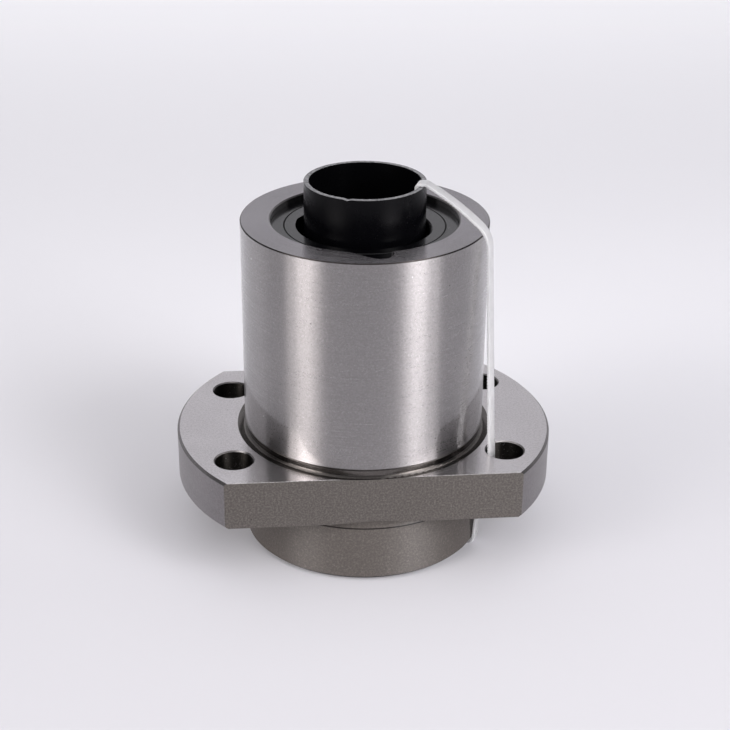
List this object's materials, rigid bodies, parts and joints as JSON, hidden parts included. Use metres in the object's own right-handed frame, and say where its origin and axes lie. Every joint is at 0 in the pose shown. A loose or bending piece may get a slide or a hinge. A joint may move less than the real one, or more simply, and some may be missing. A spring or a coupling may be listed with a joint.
{
  "type": "ball screw nut",
  "caption": "Flanged steel ball screw nut with a flat-sided flange, kept on a black plastic shipping sleeve that holds its balls in, and tied with a white nylon strap.",
  "frame": {"origin": "screw axis at the underside of the strap, which is the lowest point of the part", "axes": "+Z along the screw axis from the short spigot to the long ground body, X along the flange's long side, flats of the flange facing +Y and -Y"},
  "size_m": [0.091, 0.059, 0.0912],
  "materials": {
    "ground_steel": "ground satin",
    "deflector_plastic": "moulded, smooth",
    "wiper_plastic": "moulded, smooth",
    "ball_steel": "polished",
    "sleeve_plastic": "extruded, low gloss",
    "tie_nylon": "natural nylon, slightly clear",
    "plug_steel": "blackened"
  },
  "bodies": {
    "nut": {"nut_body": "ground_steel", "end_deflector_top": "deflector_plastic", "end_deflector_bottom": "deflector_plastic", "wiper_ring_top": "wiper_plastic", "wiper_ring_bottom": "wiper_plastic", "wiper_top": "wiper_plastic", "wiper_bottom": "wiper_plastic", "loaded_balls": "ball_steel", "return_balls": "ball_steel", "cable_tie": "tie_nylon", "grease_plug": "plug_steel"},
    "sleeve": {"arbor_sleeve": "sleeve_plastic"}
  },
  "joints": [
    {"name": "sleeve_spin", "type": "hinge", "parent": "nut", "child": "sleeve", "pos_m": [0, 0, 0.045], "axis": [0, 0, 1], "continuous": true}
  ]
}
